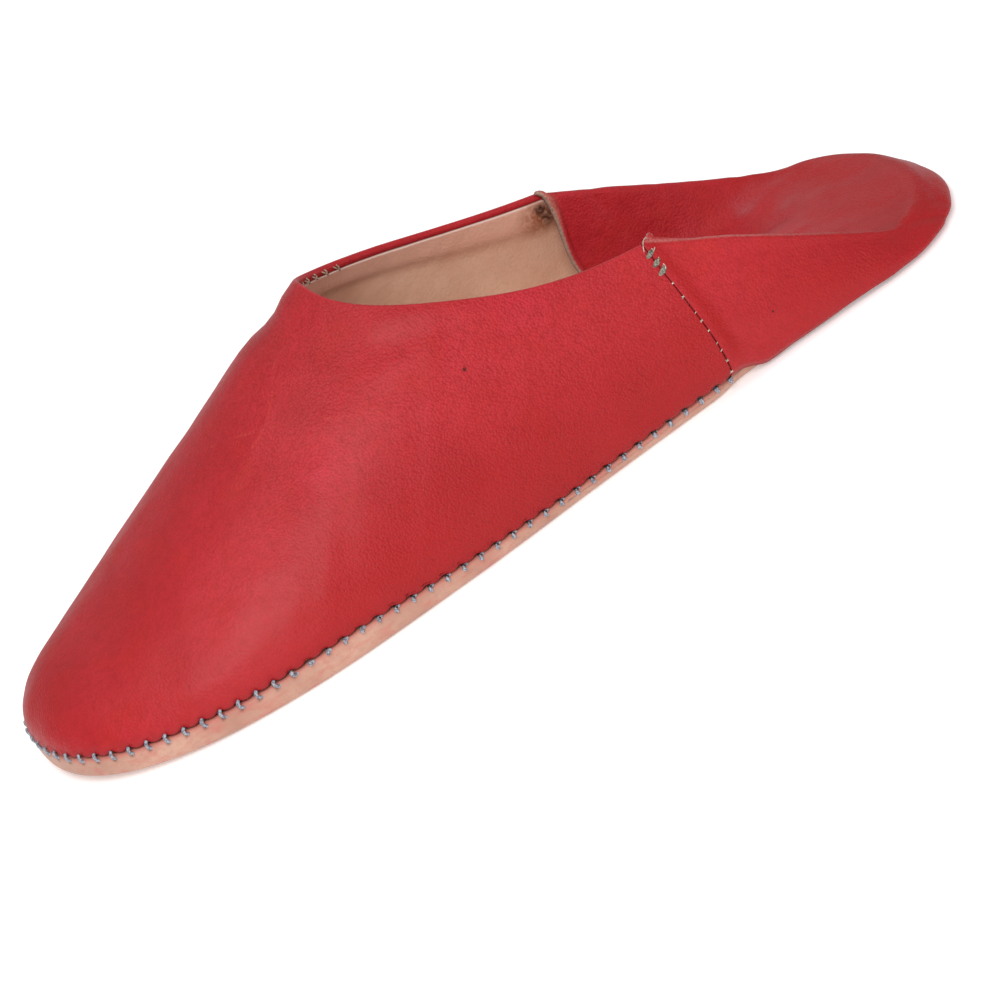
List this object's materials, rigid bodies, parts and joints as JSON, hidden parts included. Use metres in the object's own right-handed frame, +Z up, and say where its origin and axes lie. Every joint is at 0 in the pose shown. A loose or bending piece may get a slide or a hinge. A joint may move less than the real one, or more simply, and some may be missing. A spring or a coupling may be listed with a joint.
{
  "type": "babouche slipper",
  "caption": "Backless leather slipper with a soft pointed vamp, a trodden-down back folded inside the heel and a flat soft sole with a low turned-up rim.",
  "frame": {"origin": "middle of the bounding box in plan, on the floor", "axes": "+Z up, toe towards -Y, heel towards +Y, +X towards the medial side"},
  "size_m": [0.0976, 0.2678, 0.0684],
  "materials": {
    "sole_leather": "undyed vegetable-tanned sole leather, matt, pinkish tan",
    "insole_leather": "thin undyed tan leather, smooth and matt",
    "upper_leather": "red dyed goatskin, fine pebble grain, soft waxy sheen",
    "lining_leather": "thin undyed tan sheepskin lining",
    "thread": "waxed sewing thread, grey-blue and off-white"
  },
  "bodies": {
    "root": {"outsole": "sole_leather", "insole": "insole_leather", "vamp": "upper_leather", "heel_quarter": "upper_leather"}
  },
  "joints": []
}
